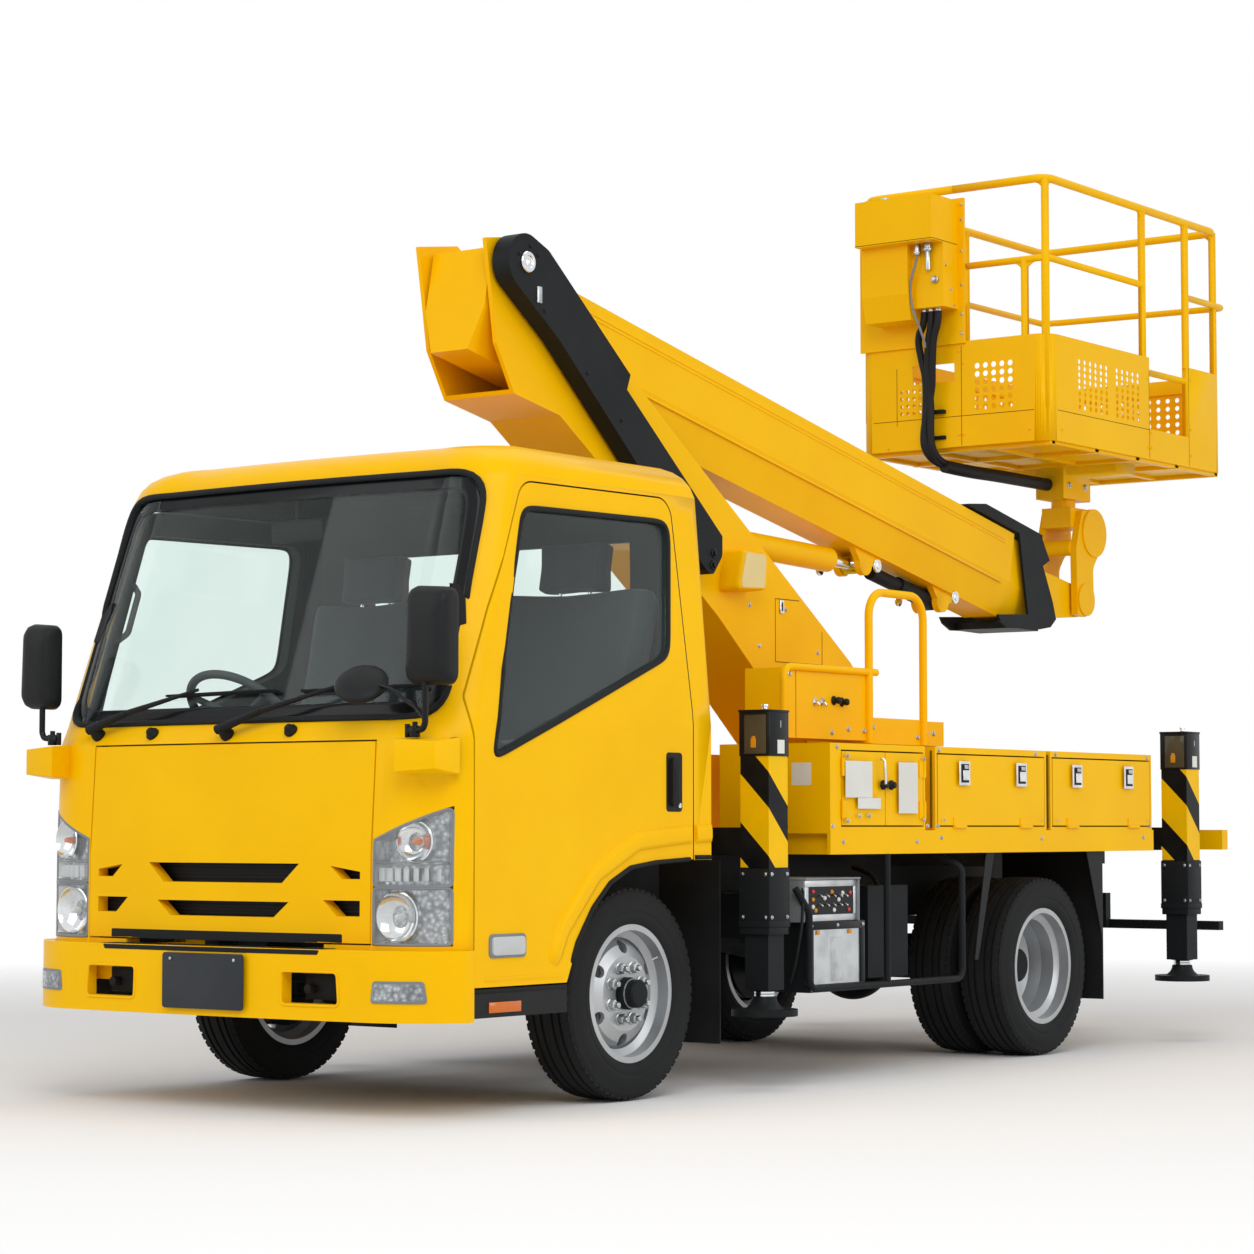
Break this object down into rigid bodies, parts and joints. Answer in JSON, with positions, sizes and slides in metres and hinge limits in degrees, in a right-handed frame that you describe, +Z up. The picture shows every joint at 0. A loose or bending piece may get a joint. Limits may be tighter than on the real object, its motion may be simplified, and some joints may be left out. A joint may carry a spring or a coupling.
{
  "type": "cherry picker truck",
  "caption": "Cab-over truck with a slewing column, telescopic boom, levelled work basket, jacks, tool lockers and opening doors.",
  "frame": {"origin": "on the ground under the middle of the truck's bounding box", "axes": "+Y to the truck's rear (its front faces -Y), +X to its left side, +Z up"},
  "size_m": [1.9639, 5.9728, 3.4829],
  "materials": {
    "yellow_paint": "semi-gloss enamel",
    "black_paint": "satin",
    "cab_glass": "clear, faint grey tint",
    "lamp_lens": "clear over bright reflectors",
    "black_plastic": "matte",
    "seat_fabric": "woven",
    "cast_iron": "dull",
    "silver_rim": "silver enamel",
    "tyre_rubber": "matte",
    "rubber": "matte",
    "bright_steel": "polished"
  },
  "bodies": {
    "truck": {"chassis_frame": "black_paint", "leaf_springs": "black_paint", "front_axle": "black_paint", "rear_axle": "black_paint", "engine_and_driveline": "cast_iron", "cab_shell": "yellow_paint", "cab_glass": "cab_glass", "bumper": "yellow_paint", "lamps": "lamp_lens", "dashboard": "black_plastic", "seats": "seat_fabric", "mirrors": "black_plastic", "deck": "yellow_paint", "control_cabinet": "yellow_paint", "oil_tank": "yellow_paint", "tool_bins_left": "yellow_paint", "tool_bins_right": "yellow_paint", "jack_sleeves": "black_paint", "side_equipment": "black_paint", "steps_and_mudguards": "rubber"},
    "front_lid": {"front_panel": "yellow_paint", "front_grille": "black_plastic"},
    "door_left": {"door_left": "yellow_paint", "door_glass_left": "cab_glass"},
    "door_right": {"door_right": "yellow_paint", "door_glass_right": "cab_glass"},
    "knuckle_left": {"steering_knuckle_left": "cast_iron"},
    "knuckle_right": {"steering_knuckle_right": "cast_iron"},
    "front_wheel_left": {"tyre_front_left": "tyre_rubber", "rim_front_left": "silver_rim"},
    "front_wheel_right": {"tyre_front_right": "tyre_rubber", "rim_front_right": "silver_rim"},
    "rear_wheels_left": {"tyres_rear_left": "tyre_rubber", "rims_rear_left": "silver_rim"},
    "rear_wheels_right": {"tyres_rear_right": "tyre_rubber", "rims_rear_right": "silver_rim"},
    "steering_wheel": {"steering_wheel": "black_plastic"},
    "bin_door_front_left": {"bin_door_front_left": "yellow_paint"},
    "bin_door_front_right": {"bin_door_front_right": "yellow_paint"},
    "bin_door_rear_left": {"bin_door_rear_left": "yellow_paint"},
    "bin_door_rear_right": {"bin_door_rear_right": "yellow_paint"},
    "cabinet_door_front": {"cabinet_door_front": "yellow_paint"},
    "cabinet_door_rear": {"cabinet_door_rear": "yellow_paint"},
    "jack_front_left": {"jack_leg_front_left": "black_paint"},
    "jack_front_right": {"jack_leg_front_right": "black_paint"},
    "jack_rear_left": {"jack_leg_rear_left": "black_paint"},
    "jack_rear_right": {"jack_leg_rear_right": "black_paint"},
    "column": {"column": "yellow_paint", "hose_cover": "black_paint", "control_station": "yellow_paint"},
    "boom_outer": {"boom_outer": "yellow_paint", "levelling_cylinder": "black_paint"},
    "boom_inner": {"boom_inner": "yellow_paint", "boom_head": "black_paint"},
    "basket_knuckle": {"basket_knuckle": "yellow_paint"},
    "basket": {"basket": "yellow_paint", "basket_controls": "yellow_paint", "basket_hoses": "rubber"},
    "lift_barrel": {"lift_barrel": "yellow_paint"},
    "lift_rod": {"lift_rod": "bright_steel"}
  },
  "joints": [
    {"name": "column_slew", "type": "hinge", "parent": "truck", "child": "column", "pos_m": [0, 0.4715, 1.115], "axis": [0, 0, 1], "continuous": true},
    {"name": "boom_lift", "type": "hinge", "parent": "column", "child": "boom_outer", "pos_m": [0, -1.7485, 2.69], "axis": [1, 0, 0], "range_deg": [0, 63]},
    {"name": "boom_extend", "type": "slide", "parent": "boom_outer", "child": "boom_inner", "axis": [0, 0.9803, -0.1977], "range_m": [0, 2.4]},
    {"name": "basket_level", "type": "hinge", "parent": "boom_inner", "child": "basket_knuckle", "pos_m": [0, 2.3025, 1.818], "axis": [1, 0, 0], "range_deg": [-63, 0]},
    {"name": "basket_swing", "type": "hinge", "parent": "basket_knuckle", "child": "basket", "pos_m": [0, 2.2915, 2.25], "axis": [0, 0, 1], "range_deg": [-90, 90]},
    {"name": "lift_barrel_pivot", "type": "hinge", "parent": "column", "child": "lift_barrel", "pos_m": [0, -0.8885, 1.917], "axis": [1, 0, 0], "range_deg": [0, 71.39]},
    {"name": "lift_rod_stroke", "type": "slide", "parent": "lift_barrel", "child": "lift_rod", "axis": [0, 0.9993, -0.0371], "range_m": [0, 1.1736]},
    {"name": "jack_front_left_drop", "type": "slide", "parent": "truck", "child": "jack_front_left", "axis": [0, 0, -1], "range_m": [0, 0.4]},
    {"name": "jack_front_right_drop", "type": "slide", "parent": "truck", "child": "jack_front_right", "axis": [0, 0, -1], "range_m": [0, 0.4]},
    {"name": "jack_rear_left_drop", "type": "slide", "parent": "truck", "child": "jack_rear_left", "axis": [0, 0, -1], "range_m": [0, 0.4]},
    {"name": "jack_rear_right_drop", "type": "slide", "parent": "truck", "child": "jack_rear_right", "axis": [0, 0, -1], "range_m": [0, 0.4]},
    {"name": "door_left_hinge", "type": "hinge", "parent": "truck", "child": "door_left", "pos_m": [0.845, -2.7635, 0.7], "axis": [0, 0, -1], "range_deg": [0, 65]},
    {"name": "door_right_hinge", "type": "hinge", "parent": "truck", "child": "door_right", "pos_m": [-0.845, -2.7635, 0.7], "axis": [0, 0, 1], "range_deg": [0, 65]},
    {"name": "front_lid_hinge", "type": "hinge", "parent": "truck", "child": "front_lid", "pos_m": [0, -2.9035, 1.09], "axis": [-1, 0, 0], "range_deg": [0, 60]},
    {"name": "steer_left", "type": "hinge", "parent": "truck", "child": "knuckle_left", "pos_m": [0.61, -1.9185, 0.328], "axis": [0, 0, 1], "range_deg": [-33, 33]},
    {"name": "steer_right", "type": "hinge", "parent": "truck", "child": "knuckle_right", "pos_m": [-0.61, -1.9185, 0.328], "axis": [0, 0, 1], "range_deg": [-33, 33]},
    {"name": "steering_wheel_turn", "type": "hinge", "parent": "truck", "child": "steering_wheel", "pos_m": [-0.39, -2.4185, 1.196], "axis": [0, 0.6712, 0.7413], "range_deg": [-495, 495]},
    {"name": "front_wheel_left_spin", "type": "hinge", "parent": "knuckle_left", "child": "front_wheel_left", "pos_m": [0.7, -1.9185, 0.328], "axis": [1, 0, 0], "continuous": true},
    {"name": "front_wheel_right_spin", "type": "hinge", "parent": "knuckle_right", "child": "front_wheel_right", "pos_m": [-0.7, -1.9185, 0.328], "axis": [1, 0, 0], "continuous": true},
    {"name": "rear_wheels_left_spin", "type": "hinge", "parent": "truck", "child": "rear_wheels_left", "pos_m": [0.64, 0.5815, 0.328], "axis": [1, 0, 0], "continuous": true},
    {"name": "rear_wheels_right_spin", "type": "hinge", "parent": "truck", "child": "rear_wheels_right", "pos_m": [-0.64, 0.5815, 0.328], "axis": [1, 0, 0], "continuous": true},
    {"name": "bin_door_front_left_hinge", "type": "hinge", "parent": "truck", "child": "bin_door_front_left", "pos_m": [0.8933, 0.1235, 0.842], "axis": [0, 1, 0], "range_deg": [0, 90]},
    {"name": "bin_door_front_right_hinge", "type": "hinge", "parent": "truck", "child": "bin_door_front_right", "pos_m": [-0.8933, 0.1235, 0.842], "axis": [0, -1, 0], "range_deg": [0, 90]},
    {"name": "bin_door_rear_left_hinge", "type": "hinge", "parent": "truck", "child": "bin_door_rear_left", "pos_m": [0.8933, 0.9555, 0.842], "axis": [0, 1, 0], "range_deg": [0, 90]},
    {"name": "bin_door_rear_right_hinge", "type": "hinge", "parent": "truck", "child": "bin_door_rear_right", "pos_m": [-0.8933, 0.9555, 0.842], "axis": [0, -1, 0], "range_deg": [0, 90]},
    {"name": "cabinet_door_front_hinge", "type": "hinge", "parent": "truck", "child": "cabinet_door_front", "pos_m": [0.8933, -0.878, 0.97], "axis": [0, 0, -1], "range_deg": [0, 100]},
    {"name": "cabinet_door_rear_hinge", "type": "hinge", "parent": "truck", "child": "cabinet_door_rear", "pos_m": [0.8933, -0.354, 0.97], "axis": [0, 0, 1], "range_deg": [0, 100]}
  ],
  "couplings": [
    {"joint": "basket_level", "follows": "boom_lift", "ratio": -1},
    {"joint": "lift_barrel_pivot", "follows": "boom_lift", "ratio": 1.1331},
    {"joint": "lift_rod_stroke", "follows": "boom_lift", "m_per_rad": 1.0669},
    {"joint": "steer_right", "follows": "steer_left", "ratio": 1},
    {"joint": "steering_wheel_turn", "follows": "steer_left", "ratio": 14.5}
  ]
}
